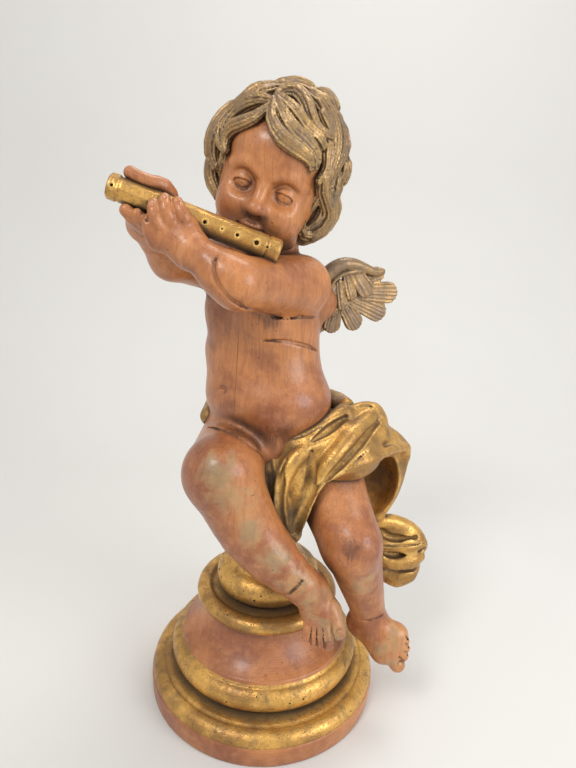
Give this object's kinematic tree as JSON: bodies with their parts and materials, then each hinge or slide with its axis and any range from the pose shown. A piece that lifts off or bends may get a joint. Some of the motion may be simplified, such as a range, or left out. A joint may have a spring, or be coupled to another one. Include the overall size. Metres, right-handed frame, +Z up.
{
  "type": "carved wooden angel statue",
  "caption": "Carved wooden cherub with gilded hair, wings and drapery, seated on a turned round plinth and playing a transverse flute.",
  "frame": {"origin": "centre of the plinth's flat underside, on the plinth's turning axis", "axes": "+Z up; the viewer stands on the -Y side, +X is the viewer's right and the cherub's left"},
  "size_m": [0.3026, 0.2456, 0.5957],
  "materials": {
    "stained_wood": "carved limewood or pine, reddish-brown stain under a worn satin varnish, dirt in the creases",
    "gilded_wood": "aged gold over brown bole on wood, rubbed on the ridges and dark in the hollows, with worm holes"
  },
  "bodies": {
    "root": {"plinth_foot": "stained_wood", "plinth_bell": "stained_wood", "seat_knob": "gilded_wood", "figure": "stained_wood", "flute": "gilded_wood", "wing_left": "gilded_wood", "wing_right": "gilded_wood"}
  },
  "joints": []
}
